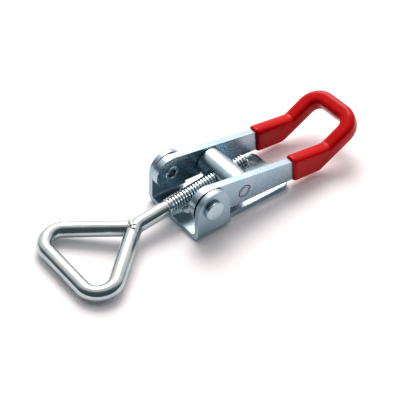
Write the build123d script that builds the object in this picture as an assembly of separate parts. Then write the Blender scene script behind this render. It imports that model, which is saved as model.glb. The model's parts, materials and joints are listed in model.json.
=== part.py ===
from build123d import *
import math
import os

# Latch toggle clamp in millimetres.
# The origin is the centre of the front screw hole on the underside of the base.
# +X runs towards the grip, -X towards the latch bow, +Z up from the mounting surface.
# -Y is the right-hand side of the clamp, seen from the grip.

# Pivot of the handle, measured from the origin
PIVOT_X = -1.2
PIVOT_Z = 11.2

# Base: one sheet, a flat tongue and two upright ears
SHEET = 1.8
BASE_WIDTH = 24.6
BEND_R = 1.0
TONGUE_END_X = 33.4
TONGUE_CORNER_R = 3.0
EAR_TOP_R = 5.9
EAR_TOP_DX = 0.7
EAR_TOP_DZ = -0.2
EAR_REAR_SLOPE = 6.9
FRONT_HOLE_R = 2.2
REAR_HOLE_R = 1.8
REAR_HOLE_X = 30.7
REAR_HOLE_EDGE = 3.7

# Handle: one strip on edge, bent to a U
STRIP = 2.4
SIDE_PLAY = 0.4
LOBE_R = 5.6
TOP_SLOPE = 9.6
BOTTOM_SLOPE = 3.2
KINK_X = 44.2
LOOP_RISE = 29.0
LOOP_HEIGHT = 3.0
LOOP_REACH = 19.9
LOOP_BEND_R = 3.8
KINK_R = 0.8

# Grip: soft skin all round the end of the U
SKIN = 0.8
LIP = 0.45
GRIP_FRONT_X = 33.3
GRIP_FRONT_Z = 7.3
GRIP_FRONT_LEAN = 8.0
GRIP_EDGE = 0.55

# Pivot rivets
SHANK_R = 2.0
RIVET_HEAD_R = 3.1
RIVET_HEAD_H = 1.5
RIVET_HEAD_EDGE = 0.45
RIVET_ROLL_R = 2.45
RIVET_ROLL_H = 0.55
RIVET_HOLLOW_R = 1.4
RIVET_HOLLOW_DEPTH = 3.2

# Cross nut
NUT_DX = 14.4
NUT_DZ = -2.03
BARREL_R = 4.8
BARREL_EDGE = 0.4
JOURNAL_R = 2.25
JOURNAL_GROOVE_R = 1.35
JOURNAL_GROOVE_W = 0.35
JOURNAL_GROOVE_DEPTH = 0.3
TAP_CHAMFER = 0.6

# Latch bolt, distances along the rod axis from the cross nut
THREAD_R = 2.65
ROD_R = 2.45
REAR_END_S = -8.6
THREAD_END_S = 22.5
BAR_S = 59.5
BOW_HALF_WIDTH = 14.55
BOW_BEND_R = 5.4
NECK_BEND_R = 5.0
ARM_ANGLE = 39.6
BOW_OFFSET = 0.4
CUT_END_GAP = 1.2
CUT_END_EDGE = 0.8
WELD_R = 1.4
WELD_RISE = 0.35
WELD_FROM = (0.3, 0.9)
WELD_TO = (1.5, -2.2)

# Clearances
RUNNING = 0.05
END_PLAY = 0.1

# Sizes that follow from the ones above
EAR_IN_Y = BASE_WIDTH / 2 - SHEET
LEG_OUT_Y = EAR_IN_Y - SIDE_PLAY
LEG_IN_Y = LEG_OUT_Y - STRIP
TONGUE_HALF = BASE_WIDTH / 2 - SHEET - BEND_R
FRONT_EDGE_X = PIVOT_X + EAR_TOP_DX - EAR_TOP_R
REAR_HOLE_SPACING = 2 * (TONGUE_HALF - REAR_HOLE_EDGE)
NUT_X = PIVOT_X + NUT_DX
NUT_Z = PIVOT_Z + NUT_DZ
ROD_TILT = math.degrees(math.asin((NUT_Z - ROD_R) / BAR_S))
WIDE = 200.0


def point_on(origin, direction, distance):
    """Point at a distance from a 2-D origin along a direction in degrees."""
    angle = math.radians(direction)
    return (origin[0] + distance * math.cos(angle), origin[1] + distance * math.sin(angle))


def meet(p, p_dir, q, q_dir):
    """Crossing point of two lines in the XZ plane, directions in degrees."""
    ax, az = math.cos(math.radians(p_dir)), math.sin(math.radians(p_dir))
    bx, bz = math.cos(math.radians(q_dir)), math.sin(math.radians(q_dir))
    cross = ax * bz - az * bx
    t = ((q[0] - p[0]) * bz - (q[1] - p[1]) * bx) / cross
    return (p[0] + t * ax, p[1] + t * az)


def cross_cylinder(x, z, radius, y_from, y_to):
    """Cylinder along Y between two Y values."""
    plane = Plane(origin=(x, y_from, z), x_dir=(1, 0, 0), z_dir=(0, 1, 0))
    return extrude(plane * Circle(radius), y_to - y_from)


def upright_cylinder(x, y, radius, z_from, z_to):
    """Cylinder along Z between two heights."""
    return extrude(Plane.XY.offset(z_from) * Pos(x, y) * Circle(radius), z_to - z_from)


def rod_plane(s):
    """Plane square to the rod axis at distance s in front of the cross nut."""
    tilt = math.radians(ROD_TILT)
    forward = Vector(-math.cos(tilt), 0, -math.sin(tilt))
    origin = Vector(NUT_X, 0, NUT_Z) + forward * s
    return Plane(origin=origin, x_dir=(0, 1, 0), z_dir=forward)


def rod_flare(s_small, r_small, s_wide, r_wide):
    """Cone on the rod axis between two radii."""
    start = rod_plane(s_small)
    upright = Plane(origin=start.origin, x_dir=start.x_dir, z_dir=start.z_dir.cross(start.x_dir))
    run = start.to_local_coords(rod_plane(s_wide).origin).Z
    turn = 1 if upright.y_dir.dot(start.z_dir) > 0 else -1
    outline = Polyline((0, 0), (r_small, 0), (r_wide, turn * run), (0, turn * run), close=True)
    return revolve(make_face(upright * outline), Axis(start.origin, start.z_dir), 360)


def bow_plane():
    """Plane of the bow: local x runs forward along the rod, local y along +Y."""
    tilt = math.radians(ROD_TILT)
    forward = (-math.cos(tilt), 0, -math.sin(tilt))
    up = (math.sin(tilt), 0, -math.cos(tilt))
    return Plane(origin=(NUT_X, 0, NUT_Z), x_dir=forward, z_dir=up)


def ear_outline():
    """XZ outline of one ear: upright front edge, round top, leaning rear edge."""
    cx = PIVOT_X + EAR_TOP_DX
    cz = PIVOT_Z + EAR_TOP_DZ
    lean = math.radians(EAR_REAR_SLOPE)
    rear_x = cx + EAR_TOP_R * math.cos(lean)
    rear_z = cz + EAR_TOP_R * math.sin(lean)
    foot_x = rear_x + rear_z * math.tan(lean)
    front = Line((cx - EAR_TOP_R, 0), (cx - EAR_TOP_R, cz))
    top = ThreePointArc((cx - EAR_TOP_R, cz), (cx, cz + EAR_TOP_R), (rear_x, rear_z))
    rear = Line((rear_x, rear_z), (foot_x, 0))
    foot = Line((foot_x, 0), (cx - EAR_TOP_R, 0))
    return [front, top, rear, foot]


def sheet_channel(length_from, length_to):
    """Folded sheet section with both bends, run along X."""
    height = PIVOT_Z + 8.0
    outer = RectangleRounded(BASE_WIDTH, 2 * height, BEND_R + SHEET)
    inner = RectangleRounded(BASE_WIDTH - 2 * SHEET, 2 * (height - SHEET), BEND_R)
    section = outer - inner
    plane = Plane(origin=(length_from, 0, height), x_dir=(0, 1, 0), z_dir=(1, 0, 0))
    pipe = extrude(plane * section, length_to - length_from)
    keep = Pos(length_from, 0, height / 2) * Box(WIDE, WIDE, height)
    return pipe & keep


def make_base():
    """Folded base with its ears, tongue and screw holes."""
    outline = make_face([Plane.XZ * edge for edge in ear_outline()])
    ears = sheet_channel(FRONT_EDGE_X - 5, FRONT_EDGE_X + 25) & extrude(outline, BASE_WIDTH, both=True)
    length = TONGUE_END_X - FRONT_EDGE_X
    plate = Pos((TONGUE_END_X + FRONT_EDGE_X) / 2, 0, SHEET / 2) * Box(length, 2 * TONGUE_HALF, SHEET)
    corners = plate.edges().filter_by(Axis.Z).group_by(Axis.X)[-1]
    plate = fillet(corners, TONGUE_CORNER_R)
    base = ears + plate
    base -= upright_cylinder(0, 0, FRONT_HOLE_R, -1, SHEET + 1)
    for side in (-1, 1):
        base -= upright_cylinder(REAR_HOLE_X, side * REAR_HOLE_SPACING / 2, REAR_HOLE_R, -1, SHEET + 1)
    base -= cross_cylinder(PIVOT_X, PIVOT_Z, SHANK_R, -WIDE / 2, WIDE / 2)
    return base


def make_rivet(side):
    """Pivot rivet on one side: flat head outside, rolled hollow end inside."""
    outer_y = BASE_WIDTH / 2
    roll_y = LEG_IN_Y - END_PLAY
    tip_y = roll_y - RIVET_ROLL_H
    head = [(0, outer_y), (RIVET_HEAD_R, outer_y), (RIVET_HEAD_R, outer_y + RIVET_HEAD_H - RIVET_HEAD_EDGE),
            (RIVET_HEAD_R - RIVET_HEAD_EDGE, outer_y + RIVET_HEAD_H), (0, outer_y + RIVET_HEAD_H)]
    shank = [(0, roll_y), (SHANK_R, roll_y), (SHANK_R, outer_y), (0, outer_y)]
    roll = [(0, tip_y), (RIVET_ROLL_R - 0.2, tip_y), (RIVET_ROLL_R, tip_y + 0.2), (RIVET_ROLL_R, roll_y), (0, roll_y)]
    plane = Plane(origin=(PIVOT_X, 0, PIVOT_Z), x_dir=(1, 0, 0), z_dir=(0, 0, side))
    axis = Axis((PIVOT_X, 0, PIVOT_Z), (0, 1, 0))
    solid = None
    for outline in (head, shank, roll):
        face = make_face(plane * Polyline(*outline, close=True))
        piece = revolve(face, axis, 360)
        solid = piece if solid is None else solid + piece
    hollow = cross_cylinder(PIVOT_X, PIVOT_Z, RIVET_HOLLOW_R, side * (tip_y - 1), side * (tip_y + RIVET_HOLLOW_DEPTH))
    return solid - hollow


def handle_side():
    """XZ corner points of the handle seen from the side, with the two kink corners."""
    pivot = (PIVOT_X, PIVOT_Z)
    top_at = point_on(pivot, 90 - TOP_SLOPE, LOBE_R)
    low_at = point_on(pivot, 270 - BOTTOM_SLOPE, LOBE_R)
    low_kink = (KINK_X, low_at[1] - (KINK_X - low_at[0]) * math.tan(math.radians(BOTTOM_SLOPE)))
    loop_top = point_on(low_kink, LOOP_RISE + 90, LOOP_HEIGHT)
    top_kink = meet(top_at, -TOP_SLOPE, loop_top, LOOP_RISE)
    return top_at, low_at, low_kink, loop_top, top_kink


def skin_line(leg_at, kink, slope, side):
    """Skin line over a leg edge: a point over the front edge and its direction."""
    front_z = leg_at[1] - (GRIP_FRONT_X - leg_at[0]) * math.tan(math.radians(slope))
    front = (GRIP_FRONT_X, front_z + side * LIP)
    over = (kink[0], kink[1] + side * SKIN)
    direction = math.degrees(math.atan2(over[1] - front[1], over[0] - front[0]))
    return front, direction


def bent_profile(corners, low_kink, top_kink, grow, half_width):
    """Side prism with rounded kinks."""
    outline = make_face(Polyline(*corners, close=True))
    low = outline.vertices().sort_by_distance(low_kink)[:1]
    outline = fillet(low, KINK_R + LOOP_HEIGHT / 2 + grow)
    top = outline.vertices().sort_by_distance(top_kink)[:1]
    outline = fillet(top, KINK_R + LOOP_HEIGHT / 2 - grow)
    return extrude(Plane.XZ * outline, half_width, both=True)


def handle_profile(half_width):
    """Side prism of the handle: round lobe, tapering leg, rising loop."""
    top_at, low_at, low_kink, loop_top, top_kink = handle_side()
    end_low = point_on(low_kink, LOOP_RISE, LOOP_REACH + 20)
    end_top = point_on(loop_top, LOOP_RISE, LOOP_REACH + 20)
    corners = [top_at, low_at, low_kink, end_low, end_top, top_kink]
    body = bent_profile(corners, low_kink, top_kink, 0, half_width)
    lobe = cross_cylinder(PIVOT_X, PIVOT_Z, LOBE_R, -half_width, half_width)
    return body + lobe


def skin_profile(half_width):
    """Side prism of the grip: thin at its front edge, thicker towards the loop."""
    top_at, low_at, low_kink, loop_top, top_kink = handle_side()
    low_front, low_dir = skin_line(low_at, low_kink, BOTTOM_SLOPE, -1)
    top_front, top_dir = skin_line(top_at, top_kink, TOP_SLOPE, 1)
    under = point_on(low_kink, LOOP_RISE - 90, SKIN)
    over = point_on(loop_top, LOOP_RISE + 90, SKIN)
    low_bend = meet(low_front, low_dir, under, LOOP_RISE)
    top_bend = meet(top_front, top_dir, over, LOOP_RISE)
    corners = [
        point_on(top_front, top_dir, -4),
        point_on(low_front, low_dir, -4),
        low_bend,
        point_on(under, LOOP_RISE, LOOP_REACH + 20),
        point_on(over, LOOP_RISE, LOOP_REACH + 20),
        top_bend,
    ]
    return bent_profile(corners, low_bend, top_bend, SKIN, half_width)


def u_strip(start, lip, grow):
    """U-shaped plan of the strip, lying in the rising plane of the loop."""
    low_kink = handle_side()[2]
    rise = math.radians(LOOP_RISE)
    along = (math.cos(rise), 0, math.sin(rise))
    square = (-math.sin(rise), 0, math.cos(rise))
    plane = Plane(origin=(low_kink[0], 0, low_kink[1]), x_dir=along, z_dir=square)
    out_u = LOOP_REACH + grow
    in_u = LOOP_REACH - STRIP - grow
    faces = []
    for end_u, start_y, end_y, bend in (
        (out_u, LEG_OUT_Y + lip, LEG_OUT_Y + grow, LOOP_BEND_R + STRIP + grow),
        (in_u, LEG_IN_Y - lip, LEG_IN_Y - grow, LOOP_BEND_R - grow),
    ):
        face = make_face(Polyline((start, -start_y), (end_u, -end_y), (end_u, end_y), (start, start_y), close=True))
        faces.append(fillet(face.vertices().group_by(Axis.X)[-1], bend))
    return extrude(plane * (faces[0] - faces[1]), 80, both=True)


def make_core():
    """The bent strip without its holes."""
    return handle_profile(LEG_OUT_Y + 2) & u_strip(-90.0, 0, 0)


def make_handle():
    """U-shaped handle with pivot holes and journal holes."""
    handle = make_core()
    handle -= cross_cylinder(PIVOT_X, PIVOT_Z, SHANK_R + RUNNING, -WIDE / 2, WIDE / 2)
    handle -= cross_cylinder(NUT_X, NUT_Z, JOURNAL_R + RUNNING, -WIDE / 2, WIDE / 2)
    return handle


def grip_front():
    """Plane of the grip's front edge, leaning a little."""
    lean = math.radians(GRIP_FRONT_LEAN)
    normal = (math.cos(lean), 0, math.sin(lean))
    return Plane(origin=(GRIP_FRONT_X, 0, GRIP_FRONT_Z), x_dir=(0, 1, 0), z_dir=normal)


def long_edges(solid):
    """Edges that run along the strip, without the front rims and the seams across it."""
    across = STRIP + 2 * SKIN + 0.2
    front = grip_front()
    keep = []
    for edge in solid.edges():
        middle = edge.position_at(0.5)
        tangent = edge.tangent_at(0.5)
        on_front = abs((middle - front.origin).dot(front.z_dir)) < 0.02
        over_strip = abs(tangent.Y) > 0.99 and edge.length < across
        rise = math.degrees(math.atan2(abs(tangent.Z), abs(tangent.X)))
        upright = abs(tangent.Y) < 0.01 and rise > 45
        if not on_front and not over_strip and not upright:
            keep.append(edge)
    return keep


def make_grip():
    """Soft skin round the end of the U, open towards the legs."""
    skin = skin_profile(LEG_OUT_Y + 4) & u_strip(GRIP_FRONT_X - KINK_X - 6, LIP, SKIN)
    keep = extrude(grip_front() * Rectangle(WIDE, WIDE), WIDE)
    skin = chamfer(long_edges(skin & keep), GRIP_EDGE)
    return skin - make_core()


def make_cross_nut():
    """Barrel between the legs with a journal in each leg and a tapped hole."""
    half = LEG_IN_Y - END_PLAY
    barrel = cross_cylinder(NUT_X, NUT_Z, BARREL_R, -half, half)
    rims = barrel.edges().filter_by(GeomType.CIRCLE)
    barrel = chamfer(rims, BARREL_EDGE)
    nut = barrel + cross_cylinder(NUT_X, NUT_Z, JOURNAL_R, -LEG_OUT_Y, LEG_OUT_Y)
    for side in (-1, 1):
        y_in = side * (LEG_OUT_Y - JOURNAL_GROOVE_DEPTH)
        y_out = side * (LEG_OUT_Y + 1)
        ring = cross_cylinder(NUT_X, NUT_Z, JOURNAL_GROOVE_R + JOURNAL_GROOVE_W, y_in, y_out)
        ring -= cross_cylinder(NUT_X, NUT_Z, JOURNAL_GROOVE_R, y_in, y_out)
        nut -= ring
    hole_r = THREAD_R + RUNNING
    nut -= extrude(rod_plane(0) * Circle(hole_r), BARREL_R + 2, both=True)
    for end in (-1, 1):
        mouth_s = end * (BARREL_R - 0.75 - TAP_CHAMFER)
        wide_s = end * (BARREL_R + 0.2)
        nut -= rod_flare(mouth_s, hole_r, wide_s, hole_r + abs(wide_s - mouth_s))
    return nut


def bow_points():
    """Key points of the bow centre line in its own plane: forward, sideways."""
    centre = (BAR_S - BOW_BEND_R, BOW_HALF_WIDTH - BOW_BEND_R)
    arm = math.radians(ARM_ANGLE)
    tangent = (centre[0] - BOW_BEND_R * math.sin(arm), centre[1] + BOW_BEND_R * math.cos(arm))
    apex_s = tangent[0] - tangent[1] / math.tan(arm)
    return centre, tangent, apex_s


def rod_piece(path, start_plane, radius):
    """Round rod of one radius swept along a path."""
    return sweep(start_plane * Circle(radius), path=path)


def corner_mid(centre):
    """Middle point of a bow corner arc."""
    return point_on(centre, (90.0 + ARM_ANGLE) / 2, BOW_BEND_R)


def make_bolt():
    """Threaded rod bent to a triangular bow; the cut end meets the rod at the apex."""
    centre, tangent, apex_s = bow_points()
    arm = math.radians(ARM_ANGLE)
    vertex_s = apex_s - BOW_OFFSET / math.tan(arm)
    setback = NECK_BEND_R * math.tan(arm / 2)
    bend_start = (vertex_s - setback, 0)
    bend_end = (vertex_s + setback * math.cos(arm), -setback * math.sin(arm))
    bend_mid = (bend_start[0] + NECK_BEND_R * math.sin(arm / 2), -NECK_BEND_R * (1 - math.cos(arm / 2)))
    plane = bow_plane()
    flip = 1 if plane.y_dir.Y > 0 else -1

    def at(point):
        return plane.from_local_coords(Vector(point[0], flip * point[1], 0))

    def on_bow(point, side):
        return at((point[0], side * point[1] - BOW_OFFSET))

    near = -1
    far = 1
    path_near = Wire([
        Line(at((THREAD_END_S, 0)), at(bend_start)),
        ThreePointArc(at(bend_start), at(bend_mid), at(bend_end)),
        Line(at(bend_end), on_bow(tangent, near)),
        ThreePointArc(on_bow(tangent, near), on_bow(corner_mid(centre), near), on_bow((BAR_S, centre[1]), near)),
        Line(on_bow((BAR_S, centre[1]), near), at((BAR_S, 0))),
    ])
    cut = (apex_s + CUT_END_GAP * math.cos(arm), CUT_END_GAP * math.sin(arm))
    straight = (apex_s + 9.0 * math.cos(arm), 9.0 * math.sin(arm))
    path_far = Wire([
        Line(at((BAR_S, 0)), on_bow((BAR_S, centre[1]), far)),
        ThreePointArc(on_bow((BAR_S, centre[1]), far), on_bow(corner_mid(centre), far), on_bow(tangent, far)),
        Line(on_bow(tangent, far), on_bow(straight, far)),
    ])
    rod_near = rod_piece(path_near, rod_plane(THREAD_END_S), ROD_R)
    bar_plane = Plane(origin=at((BAR_S, 0)), z_dir=(0, 1, 0))
    rod_far = rod_piece(path_far, bar_plane, ROD_R)
    back = on_bow(cut, far) - on_bow(straight, far)
    end_plane = Plane(origin=on_bow(straight, far), z_dir=back)
    end = extrude(end_plane * Circle(ROD_R), back.length)
    tip = end.edges().filter_by(GeomType.CIRCLE).sort_by_distance(on_bow(cut, far))[0]
    end = chamfer(tip, CUT_END_EDGE)
    stub = extrude(rod_plane(REAR_END_S) * Circle(THREAD_R), THREAD_END_S - REAR_END_S)
    rear = stub.edges().filter_by(GeomType.CIRCLE).sort_by(Axis.X)[-1]
    stub = chamfer(rear, 0.5)
    return stub + rod_near + rod_far + end


def make_weld(bolt):
    """Bead that runs across the joint, from the cut end over the bent rod."""
    apex_s = bow_points()[2]
    plane = bow_plane()
    flip = 1 if plane.y_dir.Y > 0 else -1
    lift = -1 if plane.z_dir.Z < 0 else 1
    height = lift * (ROD_R + WELD_RISE - WELD_R)
    ends = []
    for forward, sideways in (WELD_FROM, WELD_TO):
        ends.append(plane.from_local_coords(Vector(apex_s + forward, flip * sideways, height)))
    run = ends[1] - ends[0]
    core = extrude(Plane(origin=ends[0], z_dir=run) * Circle(WELD_R), run.length)
    bead = core + Pos(*ends[0]) * Sphere(WELD_R) + Pos(*ends[1]) * Sphere(WELD_R)
    bead = bead - bolt
    solids = sorted(bead.solids(), key=lambda part: part.volume)
    return solids[-1]


def main():
    """Build every piece and write one file for each."""
    os.makedirs("parts", exist_ok=True)
    bolt = make_bolt()
    pieces = {
        "base": make_base(),
        "pivot_rivet_right": make_rivet(-1),
        "pivot_rivet_left": make_rivet(1),
        "handle": make_handle(),
        "grip": make_grip(),
        "cross_nut": make_cross_nut(),
        "latch_bolt": bolt,
        "bow_weld": make_weld(bolt),
    }
    for name, piece in pieces.items():
        solids = piece.solids()
        box = piece.bounding_box()
        print(name, len(solids), round(piece.volume, 1), box.min, box.max)
        export_step(piece, os.path.join("parts", name + ".step"))


if __name__ == "__main__":
    main()
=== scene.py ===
"""Visual model of a latch toggle clamp: zinc-plated steel, red dipped grip, plain studio.

Sizes are in millimetres and angles in degrees, unless a docstring says otherwise.
"""
import json
import logging
import math
from dataclasses import dataclass
from enum import Enum
from typing import Optional, Sequence

import bpy
from mathutils import Matrix, Vector, noise

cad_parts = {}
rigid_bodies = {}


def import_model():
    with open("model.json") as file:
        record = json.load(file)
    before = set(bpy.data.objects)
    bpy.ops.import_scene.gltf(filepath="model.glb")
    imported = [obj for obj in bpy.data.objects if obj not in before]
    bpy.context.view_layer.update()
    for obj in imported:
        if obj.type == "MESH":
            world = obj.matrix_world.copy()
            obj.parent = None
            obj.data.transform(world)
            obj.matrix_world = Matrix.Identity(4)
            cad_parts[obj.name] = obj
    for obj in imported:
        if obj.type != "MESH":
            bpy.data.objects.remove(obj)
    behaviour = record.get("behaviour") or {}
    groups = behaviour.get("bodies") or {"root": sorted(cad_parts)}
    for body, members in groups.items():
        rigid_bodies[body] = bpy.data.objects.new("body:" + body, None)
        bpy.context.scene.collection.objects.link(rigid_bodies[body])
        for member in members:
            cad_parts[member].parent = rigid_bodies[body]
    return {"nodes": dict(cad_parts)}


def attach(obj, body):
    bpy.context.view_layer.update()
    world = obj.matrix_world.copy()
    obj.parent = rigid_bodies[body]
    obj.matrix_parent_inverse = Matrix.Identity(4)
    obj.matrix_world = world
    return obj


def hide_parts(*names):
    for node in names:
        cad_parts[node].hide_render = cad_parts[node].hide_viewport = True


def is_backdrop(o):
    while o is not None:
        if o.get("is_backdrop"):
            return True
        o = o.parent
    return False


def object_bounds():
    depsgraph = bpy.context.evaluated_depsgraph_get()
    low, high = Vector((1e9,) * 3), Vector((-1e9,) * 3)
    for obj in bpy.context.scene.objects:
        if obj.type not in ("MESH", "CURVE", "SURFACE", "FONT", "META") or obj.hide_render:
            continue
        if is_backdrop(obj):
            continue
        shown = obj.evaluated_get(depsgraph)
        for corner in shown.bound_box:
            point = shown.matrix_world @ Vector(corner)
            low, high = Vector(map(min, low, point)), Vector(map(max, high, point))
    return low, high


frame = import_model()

logging.basicConfig(level=logging.INFO, format="%(levelname)s %(message)s")
log = logging.getLogger("clamp")

MM = 0.001
# Points closer than this are one point.
MERGE = 0.002 * MM
# Faces that differ by less than this are one flat face, and edges sharper than the next are rounded.
FLAT_ANGLE = 0.6
SHARP_ANGLE = 35.0
EDGE_STEPS = 3
Colour = tuple[float, float, float, float]


class Body(Enum):
    """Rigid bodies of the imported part."""

    BASE = "base"
    HANDLE = "handle"
    NUT = "nut"
    BOLT = "bolt"


class Slot(Enum):
    """Material slots of the record."""

    SHEET = "plated_sheet"
    STRIP = "plated_strip"
    ROD = "plated_rod"
    NUT = "plated_nut"
    RIVET = "plated_rivet"
    WELD = "weld_bead"
    GRIP = "red_dip"


def linear(code: str) -> Colour:
    """Turn an sRGB hex code into a linear colour, with the numbers of the sRGB curve.

    Args:
        code: Six hex digits.

    Returns:
        Linear red, green and blue with full opacity.
    """
    parts = [int(code[i:i + 2], 16) / 255 for i in (0, 2, 4)]
    red, green, blue = (c / 12.92 if c <= 0.04045 else ((c + 0.055) / 1.055) ** 2.4 for c in parts)
    return (red, green, blue, 1.0)


def per_mm(feature: float) -> float:
    """Scale of a pattern on coordinates in metres whose features are this many millimetres."""
    return 1.0 / (feature * MM)


def add(tree: bpy.types.NodeTree, kind: str, inputs: Optional[dict] = None, stops: Sequence = (),
        **settings: object) -> bpy.types.Node:
    """Add a node with its settings and links.

    Args:
        tree: Node tree that takes the node.
        kind: Node type.
        inputs: Input name or number to a value or to another node's output.
        stops: Position and colour of each stop of a colour ramp.
        **settings: Properties of the node.

    Returns:
        The new node.
    """
    node = tree.nodes.new(kind)
    for name, value in settings.items():
        setattr(node, name, value)
    for key, value in (inputs or {}).items():
        if isinstance(value, bpy.types.NodeSocket):
            tree.links.new(value, node.inputs[key])
        else:
            node.inputs[key].default_value = value
    if stops:
        ramp = node.color_ramp.elements
        while len(ramp) < len(stops):
            ramp.new(0.5)
        for element, (position, colour) in zip(ramp, stops):
            element.position = position
            element.color = colour
    return node


def new_material(name: str) -> tuple[bpy.types.Material, bpy.types.NodeTree]:
    """Make a material with an empty node tree.

    Args:
        name: Material name.

    Returns:
        The material and its tree.
    """
    material = bpy.data.materials.new(name)
    material.use_nodes = True
    material.node_tree.nodes.clear()
    return material, material.node_tree


@dataclass(frozen=True)
class ZincPlate:
    """Bright zinc electroplate over steel.

    The clear blue passivation gives a bluish white metal with faint patches of tint, and the
    steel under it shows its drawn or rolled lines as a fine stretched grain. The real lines are
    a few hundredths of a millimetre apart and are drawn coarser so that they show.
    """

    name: str
    tone: str
    cool: str
    warm: str
    rough_low: float
    rough_high: float
    grain_mm: tuple[float, float, float]
    patch_mm: float
    relief: float
    speck_mm: float = 0.45
    depth_mm: float = 0.02
    tint_at: tuple[float, float, float] = (0.32, 0.50, 0.68)
    grain_range: tuple[float, float] = (0.75, 1.25)

    def build(self) -> bpy.types.Material:
        """Make the node material.

        Returns:
            The material, with its patterns on Object coordinates.
        """
        material, tree = new_material(self.name)
        place = add(tree, "ShaderNodeTexCoord").outputs["Object"]
        stretch = tuple(per_mm(size) for size in self.grain_mm)
        lines = add(tree, "ShaderNodeMapping", {"Vector": place, "Scale": stretch})
        grain = add(tree, "ShaderNodeTexNoise", {"Vector": lines.outputs[0], "Scale": 1.0, "Detail": 3.0})
        patch = add(tree, "ShaderNodeTexNoise", {
            "Vector": place, "Scale": per_mm(self.patch_mm), "Detail": 2.0})
        specks = add(tree, "ShaderNodeTexNoise", {
            "Vector": place, "Scale": per_mm(self.speck_mm), "Detail": 2.0})
        colours = [linear(code) for code in (self.cool, self.tone, self.warm)]
        tint = add(tree, "ShaderNodeValToRGB", {"Fac": patch.outputs["Fac"]},
                   stops=tuple(zip(self.tint_at, colours)))
        mixed = add(tree, "ShaderNodeMath", {0: grain.outputs["Fac"], 1: specks.outputs["Fac"]},
                    operation="ADD")
        fine, coarse = self.grain_range
        rough = add(tree, "ShaderNodeMapRange", {
            "Value": mixed.outputs[0], "From Min": fine, "From Max": coarse,
            "To Min": self.rough_low, "To Max": self.rough_high})
        bump = add(tree, "ShaderNodeBump", {
            "Height": mixed.outputs[0], "Strength": self.relief, "Distance": self.depth_mm * MM})
        surface = add(tree, "ShaderNodeBsdfPrincipled", {
            "Base Color": tint.outputs["Color"], "Metallic": 1.0, "Roughness": rough.outputs["Result"],
            "Normal": bump.outputs["Normal"]})
        add(tree, "ShaderNodeOutputMaterial", {"Surface": surface.outputs[0]})
        return material


@dataclass(frozen=True)
class VinylDip:
    """Soft vinyl from a dip bath.

    Cured plastisol gives a saturated red with slow waves where it ran, which bend its highlights,
    and tiny pits. The real pits are finer and are drawn coarser so that they show.
    """

    name: str
    deep: str
    bright: str
    cloud_mm: float = 9.0
    wave_mm: float = 3.5
    pit_mm: float = 0.6
    pit_share: float = 0.08
    relief: float = 0.5
    depth_mm: float = 0.12
    tint_at: tuple[float, float] = (0.35, 0.65)
    roughness: float = 0.17
    index: float = 1.5
    gloss: float = 0.1

    def build(self) -> bpy.types.Material:
        """Make the node material.

        Returns:
            The material, with its patterns on Object coordinates.
        """
        material, tree = new_material(self.name)
        place = add(tree, "ShaderNodeTexCoord").outputs["Object"]
        cloud = add(tree, "ShaderNodeTexNoise", {
            "Vector": place, "Scale": per_mm(self.cloud_mm), "Detail": 2.0})
        colours = [linear(code) for code in (self.deep, self.bright)]
        tint = add(tree, "ShaderNodeValToRGB", {"Fac": cloud.outputs["Fac"]},
                   stops=tuple(zip(self.tint_at, colours)))
        wave = add(tree, "ShaderNodeTexNoise", {
            "Vector": place, "Scale": per_mm(self.wave_mm), "Detail": 1.0})
        pits = add(tree, "ShaderNodeTexNoise", {
            "Vector": place, "Scale": per_mm(self.pit_mm), "Detail": 1.0})
        small = add(tree, "ShaderNodeMath", {0: pits.outputs["Fac"], 1: self.pit_share},
                    operation="MULTIPLY")
        height = add(tree, "ShaderNodeMath", {0: wave.outputs["Fac"], 1: small.outputs[0]},
                     operation="ADD")
        bump = add(tree, "ShaderNodeBump", {
            "Height": height.outputs[0], "Strength": self.relief, "Distance": self.depth_mm * MM})
        surface = add(tree, "ShaderNodeBsdfPrincipled", {
            "Base Color": tint.outputs["Color"], "Roughness": self.roughness, "IOR": self.index,
            "Specular IOR Level": self.gloss, "Normal": bump.outputs["Normal"]})
        add(tree, "ShaderNodeOutputMaterial", {"Surface": surface.outputs[0]})
        return material


# Pressed sheet: a rolled face gives a quiet blue-grey with a satin sheen.
SHEET_ZINC = ZincPlate(
    "zinc_on_pressed_sheet", "9AB2BD", "8EACBA", "A3B4C1", 0.32, 0.40, (3.0, 0.3, 0.3), 8.0, 0.08)
# Rolled strip: a little brighter, with faint rolled lines along the legs.
STRIP_ZINC = ZincPlate(
    "zinc_on_rolled_strip", "9FB8C4", "93B1C1", "A8B9C8", 0.24, 0.32, (4.0, 0.25, 0.25), 8.0, 0.04)
# Drawn rod: the smoothest steel, so the plate mirrors the room in light and dark bands.
ROD_ZINC = ZincPlate(
    "zinc_on_drawn_rod", "B5C1C4", "A7B8BC", "BAC2BF", 0.09, 0.17, (1.0, 1.0, 0.6), 6.0, 0.1)
# Bar of the nut: lines along the barrel widen its highlight.
NUT_ZINC = ZincPlate(
    "zinc_on_drawn_bar", "A4B9C3", "98B2BF", "AEBCC8", 0.22, 0.32, (0.5, 2.5, 0.5), 8.0, 0.08)
# Cold-headed rivet: the heading die leaves a pale, even face.
RIVET_ZINC = ZincPlate(
    "zinc_on_cold_headed_rivet", "B2C4CC", "A6BCC7", "BAC6CE", 0.22, 0.32, (0.6, 0.6, 0.6), 3.0, 0.1)
# Weld bead: its scaly steel makes the plate uneven, with small bright spots.
WELD_ZINC = ZincPlate(
    "zinc_on_weld_bead", "AEB9B9", "93A7AA", "C4CBC6", 0.16, 0.36, (0.6, 0.6, 0.6), 1.4, 0.5)
# Plastisol dip: a deep, even red with soft highlights on its rounded edges.
RED_VINYL = VinylDip("red_plastisol_dip", "B00306", "BC0509")


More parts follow.
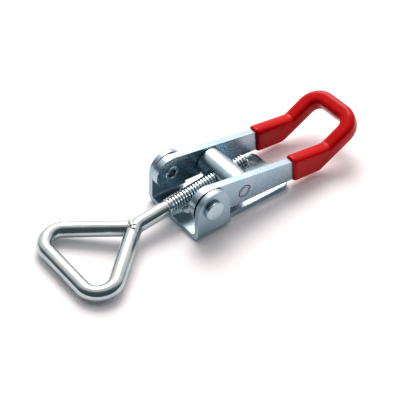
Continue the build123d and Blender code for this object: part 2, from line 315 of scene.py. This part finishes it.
def only(obj: bpy.types.Object) -> None:
    """Deselect everything, then select one object and make it active.

    Args:
        obj: The object.
    """
    if bpy.context.object and bpy.context.object.mode != "OBJECT":
        bpy.ops.object.mode_set(mode="OBJECT")
    bpy.ops.object.select_all(action="DESELECT")
    obj.select_set(True)
    bpy.context.view_layer.objects.active = obj


def apply_all(obj: bpy.types.Object) -> None:
    """Put the object's place into its mesh, so that the object stands at the origin."""
    only(obj)
    bpy.ops.object.transform_apply(location=True, rotation=True, scale=True)


def close_up(obj: bpy.types.Object) -> None:
    """Merge double points and turn the faces outwards.

    Args:
        obj: Object to change.
    """
    only(obj)
    bpy.ops.object.mode_set(mode="EDIT")
    bpy.ops.mesh.select_all(action="SELECT")
    bpy.ops.mesh.remove_doubles(threshold=MERGE)
    bpy.ops.mesh.normals_make_consistent(inside=False)
    bpy.ops.object.mode_set(mode="OBJECT")


def traced(node: str) -> bpy.types.Object:
    """Merged copy of a CAD node, with its flat faces in one piece each.

    Args:
        node: Name of the CAD node.

    Returns:
        New object at the origin.
    """
    only(frame["nodes"][node])
    bpy.ops.object.duplicate(linked=False)
    obj = bpy.context.object
    bpy.ops.object.parent_clear(type="CLEAR_KEEP_TRANSFORM")
    only(obj)
    if obj.data.has_custom_normals:
        bpy.ops.mesh.customdata_custom_splitnormals_clear()
    bpy.ops.object.mode_set(mode="EDIT")
    bpy.ops.mesh.select_all(action="SELECT")
    bpy.ops.mesh.remove_doubles(threshold=MERGE)
    bpy.ops.mesh.dissolve_limited(angle_limit=math.radians(FLAT_ANGLE))
    bpy.ops.object.mode_set(mode="OBJECT")
    return obj


def soften(obj: bpy.types.Object, width: float, segments: int, angle: float) -> None:
    """Round the sharp edges with a bevel.

    Args:
        obj: Object to change.
        width: Bevel width in millimetres.
        segments: Steps across the bevel.
        angle: Edges sharper than this many degrees are rounded.
    """
    only(obj)
    edge = obj.modifiers.new("edges", "BEVEL")
    edge.width = width * MM
    edge.segments = segments
    edge.limit_method = "ANGLE"
    edge.angle_limit = math.radians(angle)
    edge.use_clamp_overlap = True
    bpy.ops.object.modifier_apply(modifier=edge.name)


def hand_over(obj: bpy.types.Object, name: str, body: Body, finish: ZincPlate | VinylDip,
              nodes: Sequence[str], smooth: float = SHARP_ANGLE) -> None:
    """Name, shade, paint and attach a finished piece.

    Args:
        obj: The piece, at the origin.
        name: Name of the piece.
        body: Body that it rides on.
        finish: Finish to build.
        nodes: CAD nodes that it stands for.
        smooth: Edges flatter than this many degrees are shaded smooth.
    """
    obj.name = name
    obj.data.name = name
    obj.data.materials.clear()
    obj.data.materials.append(finish.build())
    only(obj)
    bpy.ops.object.shade_smooth_by_angle(angle=math.radians(smooth))
    # Large flat faces stay flat to the eye beside their rounded edges.
    flat = obj.modifiers.new("flat_faces", "WEIGHTED_NORMAL")
    flat.keep_sharp = True
    bpy.ops.object.modifier_apply(modifier=flat.name)
    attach(obj, body.value)
    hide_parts(*nodes)
    log.info("%s rides on %s, %d faces", name, body.value, len(obj.data.polygons))


@dataclass
class Mounting:
    """Folded base sheet and its two hollow pivot rivets.

    A rivet's lengths along its axis are counted from the middle plane of the clamp.
    """

    pivot_x: float = -1.2
    pivot_z: float = 11.2
    sheet_edge: float = 0.22
    head_r: float = 3.1
    head_h: float = 1.5
    head_edge: float = 0.2
    head_under: float = 0.35
    shank_r: float = 2.0
    roll_r: float = 2.45
    roll_h: float = 0.55
    hollow_r: float = 1.4
    hollow_depth: float = 3.2
    ear_y: float = 12.3
    leg_y: float = 7.6
    hollow_floor_r: float = 0.5
    hollow_corner: float = 0.3
    head_centre_r: float = 0.8
    roll_steps: int = 8
    head_steps: int = 6
    sides: int = 72
    smooth: float = 40.0

    def build(self) -> None:
        """Make the sheet and both rivets."""
        sheet = traced("base")
        soften(sheet, self.sheet_edge, EDGE_STEPS, SHARP_ANGLE)
        hand_over(sheet, "base_sheet", Body.BASE, SHEET_ZINC, ["base"])
        for side, word in ((-1, "right"), (1, "left")):
            rivet = self.rivet(side)
            hand_over(rivet, "rivet_" + word, Body.BASE, RIVET_ZINC,
                      ["pivot_rivet_" + word], self.smooth)

    def profile(self) -> list[tuple[float, float]]:
        """Outline of a rivet, from the floor of its hollow round the rolled end to its head.

        Returns:
            Radius and distance from the middle plane of each point.
        """
        tip = self.leg_y - self.roll_h
        top = self.ear_y + self.head_h
        lip = (self.roll_r - self.hollow_r) / 2
        lip_r = self.hollow_r + lip
        floor = tip + self.hollow_depth
        points = [(self.hollow_floor_r, floor), (self.hollow_r - self.hollow_corner, floor),
                  (self.hollow_r, floor - self.hollow_corner)]
        for step in range(self.roll_steps + 1):
            turn = math.pi * step / self.roll_steps
            points.append((lip_r - lip * math.cos(turn), tip + self.roll_h * (1 - math.sin(turn))))
        points += [(self.shank_r, self.leg_y), (self.shank_r, self.ear_y),
                   (self.head_r - self.head_under, self.ear_y), (self.head_r, self.ear_y + self.head_under)]
        for step in range(self.head_steps + 1):
            turn = math.pi / 2 * step / self.head_steps
            points.append((self.head_r - self.head_edge * (1 - math.cos(turn)),
                           top - self.head_edge * (1 - math.sin(turn))))
        points.append((self.head_centre_r, top))
        return points

    def rivet(self, side: int) -> bpy.types.Object:
        """Turn one rivet: a ring of points is extruded and scaled from step to step.

        Args:
            side: -1 for the near ear, 1 for the far ear.

        Returns:
            The rivet at the origin.
        """
        points = self.profile()
        radius, along = points[0]
        centre = Vector((self.pivot_x, side * along, self.pivot_z)) * MM
        bpy.ops.object.select_all(action="DESELECT")
        bpy.ops.mesh.primitive_circle_add(vertices=self.sides, radius=radius * MM, fill_type="NGON",
                                          location=centre, rotation=(math.pi / 2, 0, 0))
        obj = bpy.context.object
        apply_all(obj)
        bpy.ops.object.mode_set(mode="EDIT")
        bpy.ops.mesh.select_all(action="SELECT")
        for wide, far in points[1:]:
            step = side * (far - along) * MM
            bpy.ops.mesh.extrude_region_move(TRANSFORM_OT_translate={"value": (0, step, 0)})
            scale = wide / radius
            middle = Vector((self.pivot_x, side * far, self.pivot_z)) * MM
            bpy.ops.transform.resize(value=(scale, 1, scale), center_override=middle)
            radius, along = wide, far
        close_up(obj)
        return obj


@dataclass
class Lever:
    """U-shaped handle strip with its dipped grip, which is smooth all over."""

    strip_edge: float = 0.25
    skin_cell: float = 0.22
    skin_rounds: int = 60
    skin_swell: float = 0.6
    draw_share: float = 0.5
    smooth: float = 180.0

    def build(self) -> None:
        """Make the strip and the grip."""
        strip = traced("handle")
        soften(strip, self.strip_edge, EDGE_STEPS, SHARP_ANGLE)
        hand_over(strip, "handle_strip", Body.HANDLE, STRIP_ZINC, ["handle"])
        grip = traced("grip")
        self.run_down(grip)
        hand_over(grip, "grip_skin", Body.HANDLE, RED_VINYL, ["grip"], self.smooth)

    def run_down(self, grip: bpy.types.Object) -> None:
        """Give the skin the drawn-in edges and full faces of a dip that ran before it cured.

        Args:
            grip: The angular skin, changed in place.
        """
        only(grip)
        cells = grip.modifiers.new("cells", "REMESH")
        cells.mode = "VOXEL"
        cells.voxel_size = self.skin_cell * MM
        drawn = grip.modifiers.new("drawn", "SMOOTH")
        drawn.factor = self.draw_share
        drawn.iterations = self.skin_rounds
        full = grip.modifiers.new("full", "DISPLACE")
        full.mid_level = 0.0
        full.strength = self.skin_swell * MM
        for step in (cells, drawn, full):
            bpy.ops.object.modifier_apply(modifier=step.name)


@dataclass
class CrossNut:
    """Barrel nut with its staked journals and tapped hole."""

    nut_x: float = 13.2
    nut_z: float = 9.17
    journal_r: float = 2.25
    end_r: float = 1.98
    edge: float = 0.1
    edge_steps: int = 2
    sharp: float = 40.0

    def build(self) -> None:
        """Make the nut."""
        barrel = traced("cross_nut")
        self.draw_in(barrel)
        soften(barrel, self.edge, self.edge_steps, self.sharp)
        hand_over(barrel, "cross_barrel", Body.NUT, NUT_ZINC, ["cross_nut"])

    def draw_in(self, barrel: bpy.types.Object) -> None:
        """Draw the rim of each journal's end face in, which opens a dark gap round it in the leg.

        Args:
            barrel: The nut, changed in place.
        """
        end_y = max(abs(point.co.y) for point in barrel.data.vertices)
        axis = Vector((self.nut_x, 0, self.nut_z)) * MM
        rim = (self.end_r + self.journal_r) / 2 * MM
        for point in barrel.data.vertices:
            arm = Vector((point.co.x - axis.x, 0, point.co.z - axis.z))
            if abs(point.co.y) > end_y - MERGE and arm.length > rim:
                point.co -= arm * (1 - self.end_r / self.journal_r)


@dataclass
class LatchBolt:
    """Threaded rod bent to a triangular bow, with the weld bead at its apex.

    Distances s run forward along the rod from the cross nut, t sideways along Y and w up,
    square to the rod. The thread's root and flank are shares of half a pitch.
    """

    nut_x: float = 13.2
    nut_z: float = 9.17
    rod_r: float = 2.45
    thread_r: float = 2.65
    root_r: float = 1.98
    pitch: float = 1.0
    rear_s: float = -8.6
    thread_s: float = 22.5
    bar_s: float = 59.5
    half_width: float = 14.55
    bend_r: float = 5.4
    neck_r: float = 5.0
    arm_deg: float = 39.6
    offset: float = 0.4
    cut_gap: float = 1.2
    cut_edge: float = 1.0
    sides: int = 56
    rings_per_turn: int = 14
    root_share: float = 0.12
    flank_share: float = 0.5
    run_out: float = 1.6
    lead_under: float = 0.15
    lead_slope: float = 0.9
    neck_steps: int = 16
    corner_steps: int = 40
    end_steps: int = 6
    end_normal: float = 0.9
    smooth: float = 40.0
    weld_r: float = 1.4
    weld_cuts: int = 6
    weld_rise: float = 0.35
    weld_from: tuple[float, float] = (0.3, 0.9)
    weld_to: tuple[float, float] = (1.5, -2.2)
    swell: float = 0.16
    swell_mm: float = 1.3
    ripple: float = 0.05
    ripples: float = 4.5
    pit_place: tuple[float, float] = (34.9, -2.1)
    pit_r: float = 0.55
    pit_depth: float = 0.55
    bead_smooth: float = 60.0

    def __post_init__(self) -> None:
        """Work out the tilt and the directions of the rod."""
        tilt = math.asin((self.nut_z - self.rod_r) / self.bar_s)
        self.ahead = Vector((-math.cos(tilt), 0, -math.sin(tilt)))
        self.up = Vector((-math.sin(tilt), 0, math.cos(tilt)))
        self.side = Vector((0, 1, 0))
        self.arm = math.radians(self.arm_deg)
        self.centre_s = self.bar_s - self.bend_r
        self.centre_t = self.half_width - self.bend_r
        tangent_s = self.centre_s - self.bend_r * math.sin(self.arm)
        tangent_t = self.centre_t + self.bend_r * math.cos(self.arm)
        self.apex_s = tangent_s - tangent_t / math.tan(self.arm)
        self.tangent = (tangent_s, tangent_t)

    def at(self, s: float, t: float, w: float = 0.0) -> Vector:
        """Point of the part for distances s, t and w, in metres."""
        middle = Vector((self.nut_x, 0, self.nut_z))
        return (middle + self.ahead * s + self.side * t + self.up * w) * MM

    def build(self) -> None:
        """Make the rod with its thread and bow, and the bead."""
        rod = self.thread()
        bow = self.bow()
        only(rod)
        bow.select_set(True)
        bpy.ops.object.join()
        close_up(rod)
        hand_over(rod, "bolt_rod", Body.BOLT, ROD_ZINC, ["latch_bolt"], self.smooth)
        hand_over(self.bead(), "apex_bead", Body.BOLT, WELD_ZINC, ["bow_weld"],
                  self.bead_smooth)

    def radius_at(self, s: float, theta: float) -> float:
        """Radius of the screw thread.

        Args:
            s: Distance along the rod.
            theta: Angle round the rod.

        Returns:
            Radius in millimetres.
        """
        phase = ((s - self.rear_s) / self.pitch - theta / math.tau) % 1.0
        from_root = abs(phase - 0.5) * 2
        flank = min(max((from_root - self.root_share) / self.flank_share, 0.0), 1.0)
        radius = self.root_r + (self.thread_r - self.root_r) * flank
        fade = min(max((self.thread_s - s) / self.run_out, 0.0), 1.0)
        radius = self.rod_r + (radius - self.rod_r) * fade
        lead = self.root_r - self.lead_under + (s - self.rear_s) * self.lead_slope
        return min(radius, lead)

    def thread(self) -> bpy.types.Object:
        """Screw thread: a cylinder cut into rings, each point set to the thread's radius.

        Returns:
            Threaded part, open where the bow goes on.
        """
        length = self.thread_s - self.rear_s
        bpy.ops.object.select_all(action="DESELECT")
        bpy.ops.mesh.primitive_cylinder_add(vertices=self.sides, radius=self.rod_r * MM, depth=length * MM)
        obj = bpy.context.object
        self.cut_rings(obj, round(length / self.pitch))
        self.cut_rings(obj, self.rings_per_turn)
        bpy.ops.mesh.select_mode(type="FACE")
        bpy.ops.mesh.select_all(action="DESELECT")
        bpy.ops.object.mode_set(mode="OBJECT")
        for face in obj.data.polygons:
            face.select = face.normal.z > self.end_normal
        bpy.ops.object.mode_set(mode="EDIT")
        bpy.ops.mesh.delete(type="FACE")
        bpy.ops.object.mode_set(mode="OBJECT")
        for point in obj.data.vertices:
            s = point.co.z / MM + length / 2 + self.rear_s
            theta = math.atan2(point.co.y, point.co.x)
            radius = self.radius_at(s, theta)
            point.co = self.at(s, radius * math.cos(theta), radius * math.sin(theta))
        return obj

    def cut_rings(self, obj: bpy.types.Object, parts: int) -> None:
        """Cut each edge along the cylinder into equal parts and stay in edit mode.

        Args:
            obj: Cylinder along Z.
            parts: Number of parts.
        """
        bpy.ops.object.mode_set(mode="EDIT")
        bpy.ops.mesh.select_mode(type="EDGE")
        bpy.ops.mesh.select_all(action="DESELECT")
        bpy.ops.object.mode_set(mode="OBJECT")
        for edge in obj.data.edges:
            low, high = (obj.data.vertices[i].co.z for i in edge.vertices)
            edge.select = abs(low - high) > MERGE
        bpy.ops.object.mode_set(mode="EDIT")
        bpy.ops.mesh.subdivide(number_cuts=parts - 1)

    def bow(self) -> bpy.types.Object:
        """Plain rod and bow: a ring of points is extruded along the runs and spun round the bends.

        Returns:
            Rod from the end of the thread round to the cut end.
        """
        bpy.ops.object.select_all(action="DESELECT")
        bpy.ops.mesh.primitive_circle_add(vertices=self.sides, radius=self.rod_r * MM, fill_type="NOTHING")
        obj = bpy.context.object
        for point in obj.data.vertices:
            theta = math.atan2(point.co.y, point.co.x)
            point.co = self.at(self.thread_s, self.rod_r * math.cos(theta), self.rod_r * math.sin(theta))
        bpy.ops.object.mode_set(mode="EDIT")
        bpy.ops.mesh.select_mode(type="VERT")
        bpy.ops.mesh.select_all(action="SELECT")
        vertex_s = self.apex_s - self.offset / math.tan(self.arm)
        back = self.neck_r * math.tan(self.arm / 2)
        here = Vector((self.thread_s, 0))
        start = Vector((vertex_s - back, 0))
        here = self.run(here, start)
        here = self.bend(here, start + Vector((0, -self.neck_r)), -self.arm, self.neck_steps)
        here = self.run(here, Vector((self.tangent[0], -self.tangent[1] - self.offset)))
        corner = math.pi / 2 + self.arm
        right = Vector((self.centre_s, -self.centre_t - self.offset))
        left = Vector((self.centre_s, self.centre_t - self.offset))
        here = self.bend(here, right, corner, self.corner_steps)
        here = self.run(here, left + Vector((self.bend_r, 0)))
        here = self.bend(here, left, corner, self.corner_steps)
        gap = Vector((math.cos(self.arm), math.sin(self.arm))) * self.cut_gap
        cut = Vector((self.apex_s, -self.offset)) + gap
        way = (cut - here).normalized()
        here = self.run(here, cut - way * self.cut_edge)
        self.round_end(here, way)
        bpy.ops.object.mode_set(mode="OBJECT")
        return obj

    def run(self, here: Vector, there: Vector) -> Vector:
        """Extrude the open end straight to another place.

        Args:
            here: Present s and t.
            there: Next s and t.

        Returns:
            The new place.
        """
        shift = self.at(*there) - self.at(*here)
        bpy.ops.mesh.extrude_region_move(TRANSFORM_OT_translate={"value": shift})
        return there

    def bend(self, here: Vector, centre: Vector, angle: float, steps: int) -> Vector:
        """Spin the open end round a bend.

        Args:
            here: Present s and t.
            centre: Centre of the bend, s and t.
            angle: Turn in radians, positive from ahead towards +Y.
            steps: Steps of the bend.

        Returns:
            The new place.
        """
        axis = self.side.cross(self.ahead)
        bpy.ops.mesh.spin(steps=steps, dupli=False, angle=angle, center=self.at(*centre), axis=axis)
        arm = here - centre
        cos, sin = math.cos(angle), math.sin(angle)
        return centre + Vector((arm.x * cos - arm.y * sin, arm.x * sin + arm.y * cos))

    def round_end(self, here: Vector, way: Vector) -> None:
        """Round the cut end with a few shrinking steps and close it.

        Args:
            here: Present s and t.
            way: Direction of the rod, s and t.
        """
        steps = self.end_steps
        radius = self.rod_r
        for step in range(1, steps + 1):
            turn = math.pi / 2 * step / steps
            before = math.pi / 2 * (step - 1) / steps
            forward = self.cut_edge * (math.sin(turn) - math.sin(before))
            here = self.run(here, here + way * forward)
            smaller = self.rod_r - self.cut_edge * (1 - math.cos(turn))
            scale = smaller / radius
            bpy.ops.transform.resize(value=(scale, scale, scale), center_override=self.at(*here))
            radius = smaller
        bpy.ops.mesh.edge_face_add()

    def bead(self) -> bpy.types.Object:
        """Weld bead: a ball drawn out across the joint, with ripples and one pit.

        Returns:
            The bead at the origin.
        """
        height = self.rod_r + self.weld_rise - self.weld_r
        first = self.at(self.apex_s + self.weld_from[0], self.weld_from[1], height)
        last = self.at(self.apex_s + self.weld_to[0], self.weld_to[1], height)
        along = last - first
        pit = self.at(*self.pit_place, height + self.weld_r)
        bpy.ops.object.select_all(action="DESELECT")
        bpy.ops.mesh.primitive_ico_sphere_add(
            subdivisions=self.weld_cuts, radius=self.weld_r * MM, location=first)
        obj = bpy.context.object
        apply_all(obj)
        for point in obj.data.vertices:
            ball = point.co - first
            share = min(max((ball.dot(along.normalized()) / (self.weld_r * MM) + 1) / 2, 0.0), 1.0)
            middle = first + along * share
            swell = noise.noise(point.co * per_mm(self.swell_mm)) * self.swell
            ripple = self.ripple * math.sin(share * math.tau * self.ripples)
            spot = middle + ball
            hole = self.pit_depth * math.exp(-((spot - pit).length / (self.pit_r * MM)) ** 2)
            point.co = middle + ball * (1 + swell + ripple - hole)
        return obj


@dataclass(frozen=True)
class View:
    """Camera of the photo: lengths in millimetres, angles in degrees, clip distances in metres."""

    target: tuple[float, float, float] = (0.52, -4.29, 8.0)
    azimuth: float = -40.57
    elevation: float = 42.37
    roll: float = 3.24
    distance: float = 381.0
    lens: float = 113.436
    sensor: float = 36.0
    clip_near: float = 0.01
    clip_far: float = 20.0

    def axes(self) -> tuple[Vector, Vector, Vector]:
        """Work out which way the camera looks.

        Returns:
            Its right, up and forward directions.
        """
        turn, rise, roll = (math.radians(a) for a in (self.azimuth, self.elevation, self.roll))
        back = Vector((math.sin(turn) * math.cos(rise), -math.cos(turn) * math.cos(rise), math.sin(rise)))
        right = Vector((math.cos(turn), math.sin(turn), 0))
        up = right.cross(-back)
        cos, sin = math.cos(roll), math.sin(roll)
        return right * cos + up * sin, up * cos - right * sin, -back

    def build(self) -> None:
        """Make the camera and use it."""
        right, up, forward = self.axes()
        data = bpy.data.cameras.new("photo_view")
        data.sensor_width = self.sensor
        data.lens = self.lens
        data.clip_start = self.clip_near
        data.clip_end = self.clip_far
        camera = bpy.data.objects.new("photo_view", data)
        bpy.context.scene.collection.objects.link(camera)
        camera.rotation_mode = "QUATERNION"
        camera.rotation_quaternion = Matrix((right, up, -forward)).transposed().to_quaternion()
        camera.location = (Vector(self.target) - forward * self.distance) * MM
        bpy.context.scene.camera = camera


@dataclass
class Studio:
    """White floor, one soft lamp high at the back and a dim room with a bright patch behind.

    Lengths are in metres, apart from floor_drop. The floor glows a little to the eye and in
    mirrors, by floor_lift, and never lights the part with it. soft_levels pairs the cosine of the
    angle from soft_way with the light that comes from there, cool where dim and warm where bright.
    """

    floor_size: float = 6.0
    floor_drop: float = 0.02
    card: str = "EFEFF2"
    floor_lift: float = 0.03
    soft_way: tuple[float, float, float] = (0.48, 0.56, 0.674)
    soft_levels: tuple[tuple[float, float], ...] = (
        (0.0, 0.10), (0.2, 0.17), (0.37, 0.33), (0.47, 0.68), (0.56, 0.86), (0.8, 1.1), (0.94, 1.45))
    cool: tuple[float, float, float] = (0.82, 1.0, 1.08)
    warm: tuple[float, float, float] = (1.22, 1.0, 0.94)
    lamp_way: tuple[float, float, float] = (0.33, 0.51, 0.79)
    lamp_far: float = 0.5
    lamp_size: float = 0.29
    lamp_power: float = 2.35
    lamp_colour: tuple[float, float, float] = (1.0, 0.97, 0.94)

    def build(self) -> None:
        """Make the floor, the world and the lamp."""
        bpy.context.scene.view_settings.view_transform = "Standard"
        self.floor()
        self.world()
        self.lamp()

    def floor(self) -> None:
        """Plain white floor just under the part, which keeps the shadow."""
        bpy.ops.object.select_all(action="DESELECT")
        bpy.ops.mesh.primitive_plane_add(size=self.floor_size, location=(0, 0, -self.floor_drop * MM))
        plane = bpy.context.object
        apply_all(plane)
        plane.name = "floor"
        material, tree = new_material("white_card")
        surface = add(tree, "ShaderNodeBsdfDiffuse", {"Color": linear(self.card)})
        glow = add(tree, "ShaderNodeEmission", {"Color": linear("FFFFFF"), "Strength": self.floor_lift})
        both = add(tree, "ShaderNodeAddShader", {0: surface.outputs[0], 1: glow.outputs[0]})
        ray = add(tree, "ShaderNodeLightPath")
        mirrored = add(tree, "ShaderNodeMath", {
            0: ray.outputs["Is Glossy Ray"], 1: ray.outputs["Is Transmission Ray"]}, operation="ADD")
        seen = add(tree, "ShaderNodeMath", {0: ray.outputs["Is Camera Ray"], 1: mirrored.outputs[0]},
                   operation="ADD", use_clamp=True)
        mix = add(tree, "ShaderNodeMixShader", {
            0: seen.outputs[0], 1: surface.outputs[0], 2: both.outputs[0]})
        add(tree, "ShaderNodeOutputMaterial", {"Surface": mix.outputs[0]})
        plane.data.materials.append(material)
        plane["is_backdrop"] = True

    def world(self) -> None:
        """Soft light and dim room, the same for every kind of ray."""
        world = bpy.data.worlds.new("room")
        bpy.context.scene.world = world
        world.use_nodes = True
        tree = world.node_tree
        tree.nodes.clear()
        way = add(tree, "ShaderNodeTexCoord").outputs["Generated"]
        near = add(tree, "ShaderNodeVectorMath", {0: way, 1: Vector(self.soft_way).normalized()},
                   operation="DOT_PRODUCT")
        top = self.soft_levels[-1][1]
        stops = []
        for position, level in self.soft_levels:
            tint = Vector(self.cool).lerp(Vector(self.warm), position) * level / top
            stops.append((position, (*tint, 1.0)))
        shade = add(tree, "ShaderNodeValToRGB", {"Fac": near.outputs["Value"]}, stops=stops)
        light = add(tree, "ShaderNodeBackground", {"Color": shade.outputs["Color"], "Strength": top})
        add(tree, "ShaderNodeOutputWorld", {"Surface": light.outputs[0]})

    def lamp(self) -> None:
        """One soft square lamp from above and behind."""
        data = bpy.data.lights.new("soft_lamp", "AREA")
        data.shape = "SQUARE"
        data.size = self.lamp_size
        data.energy = self.lamp_power
        data.color = self.lamp_colour
        lamp = bpy.data.objects.new("soft_lamp", data)
        bpy.context.scene.collection.objects.link(lamp)
        place = Vector(self.lamp_way).normalized() * self.lamp_far
        lamp.location = place
        lamp.rotation_mode = "QUATERNION"
        lamp.rotation_quaternion = (-place).to_track_quat("-Z", "Y")


def note_size(stage: str, sizes: dict) -> None:
    """Note the outer box of what is shown.

    Args:
        stage: Name of this moment.
        sizes: Boxes noted so far, added to.
    """
    low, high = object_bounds()
    sizes[stage] = [list(low), list(high)]


def main() -> None:
    """Build the clamp and its studio."""
    sizes: dict = {}
    note_size("cad", sizes)
    for part in (Mounting(), Lever(), CrossNut(), LatchBolt()):
        part.build()
        log.info("built %s", type(part).__name__)
    Studio().build()
    View().build()
    note_size("visual", sizes)


if __name__ == "__main__":
    main()
